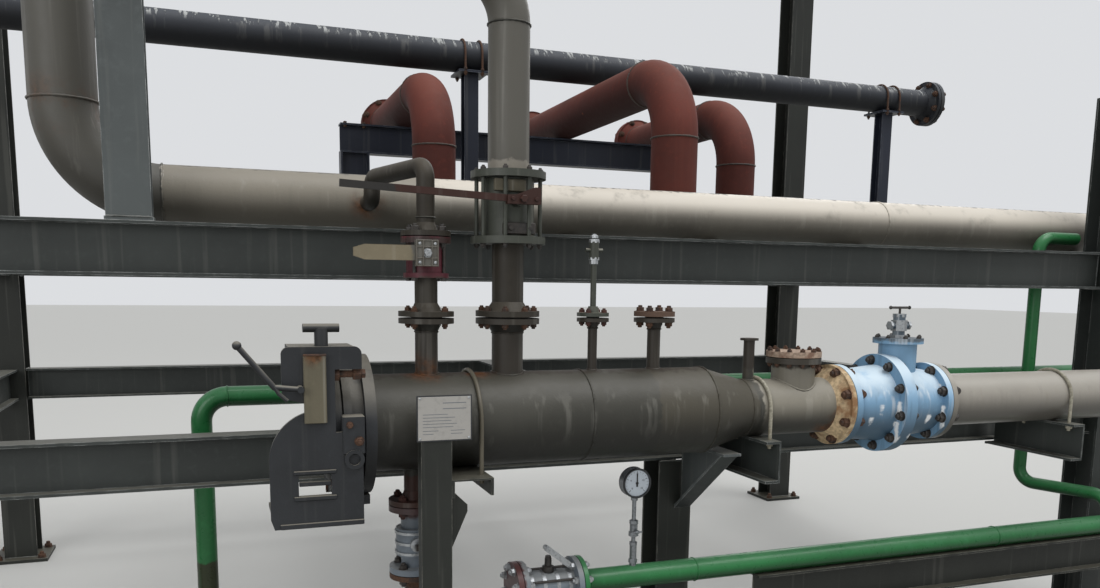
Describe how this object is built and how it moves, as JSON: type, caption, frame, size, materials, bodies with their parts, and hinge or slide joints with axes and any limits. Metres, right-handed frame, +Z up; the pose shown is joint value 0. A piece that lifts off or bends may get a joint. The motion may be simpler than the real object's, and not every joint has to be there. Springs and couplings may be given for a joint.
{
  "type": "industrial pipe bridge bay",
  "caption": "Steel pipe bridge bay with a valved header, end closure, check valve, branches, red loops and green water lines",
  "frame": {"origin": "on the ground under the middle of the bridge", "axes": "+X along the bridge, to the right in front view, +Y to the rear row, +Z up"},
  "size_m": [6.156, 3.6124, 4.18],
  "materials": {
    "grey_structure_paint": "weathered satin alkyd paint",
    "dark_portal_paint": "weathered satin alkyd paint",
    "pipe_grey_paint": "weathered satin alkyd paint",
    "rusty_steel": "rusted hot-rolled steel",
    "red_valve_paint": "worn enamel on cast steel",
    "cast_valve_metal": "grey painted casting",
    "cream_lever_paint": "worn enamel",
    "pale_pipe_paint": "satin enamel",
    "blue_valve_paint": "gloss enamel on cast iron",
    "dark_pipe_paint": "flaking enamel",
    "red_oxide_primer": "matt red oxide primer",
    "green_pipe_paint": "gloss enamel",
    "gauge_steel": "brushed stainless case",
    "label_sheet": "printed sheet, bare fields"
  },
  "bodies": {
    "frame": {"blind_covers": "rusty_steel", "branch_a_pipe": "pipe_grey_paint", "branch_a_riser": "pipe_grey_paint", "branch_a_valve": "red_valve_paint", "branch_b_pipe": "pipe_grey_paint", "branch_b_riser": "pipe_grey_paint", "branch_b_valve": "pipe_grey_paint", "channel_brackets": "grey_structure_paint", "check_valve": "blue_valve_paint", "check_valve_bonnet": "blue_valve_paint", "closure_door": "pipe_grey_paint", "closure_hub": "pipe_grey_paint", "closure_yoke": "pipe_grey_paint", "drain_pipe": "pipe_grey_paint", "drain_valve": "cast_valve_metal", "flat_arm": "grey_structure_paint", "front_girder_lower": "grey_structure_paint", "front_girder_upper": "grey_structure_paint", "front_post_left": "grey_structure_paint", "front_post_right": "grey_structure_paint", "green_low_pipe": "green_pipe_paint", "green_low_valve": "cast_valve_metal", "green_rear_pipe": "green_pipe_paint", "green_riser": "green_pipe_paint", "header_pipe": "pipe_grey_paint", "high_rear_pipe": "dark_pipe_paint", "knee_bracket": "grey_structure_paint", "label_plate": "label_sheet", "label_post": "grey_structure_paint", "low_beam": "grey_structure_paint", "low_posts": "grey_structure_paint", "low_tie": "grey_structure_paint", "lower_cross_beams": "grey_structure_paint", "middle_post": "grey_structure_paint", "pale_pipe": "pale_pipe_paint", "pipe_shoes": "grey_structure_paint", "portal_frame": "dark_portal_paint", "pressure_gauge": "gauge_steel", "rear_girder_lower": "grey_structure_paint", "rear_girder_top": "grey_structure_paint", "rear_girder_upper": "grey_structure_paint", "rear_post_left": "grey_structure_paint", "rear_post_right": "grey_structure_paint", "red_loop_1": "red_oxide_primer", "red_loop_2": "red_oxide_primer", "red_loop_3": "red_oxide_primer", "run_flange": "rusty_steel", "sample_tapping": "pipe_grey_paint", "stub_column": "grey_structure_paint", "tee_posts": "dark_portal_paint", "trimmer_beam": "grey_structure_paint", "u_bolts": "rusty_steel", "upper_cross_beams": "grey_structure_paint", "upper_pipe": "pipe_grey_paint"},
    "branch_a_lever": {"branch_a_lever": "cream_lever_paint"},
    "branch_b_lever": {"branch_b_lever": "rusty_steel"},
    "closure_lever": {"closure_lever": "cast_valve_metal"}
  },
  "joints": [
    {"name": "branch_a_lever_turn", "type": "hinge", "parent": "frame", "child": "branch_a_lever", "pos_m": [-0.905, -1.60625, 1.793], "axis": [0, 1, 0], "range_deg": [0, 90]},
    {"name": "branch_b_lever_turn", "type": "hinge", "parent": "frame", "child": "branch_b_lever", "pos_m": [-0.6, -1.65125, 1.971], "axis": [0, 1, 0], "range_deg": [0, 90]},
    {"name": "closure_lever_turn", "type": "hinge", "parent": "frame", "child": "closure_lever", "pos_m": [-1.322, -1.79325, 1.386], "axis": [0, 1, 0], "range_deg": [0, 80]}
  ]
}
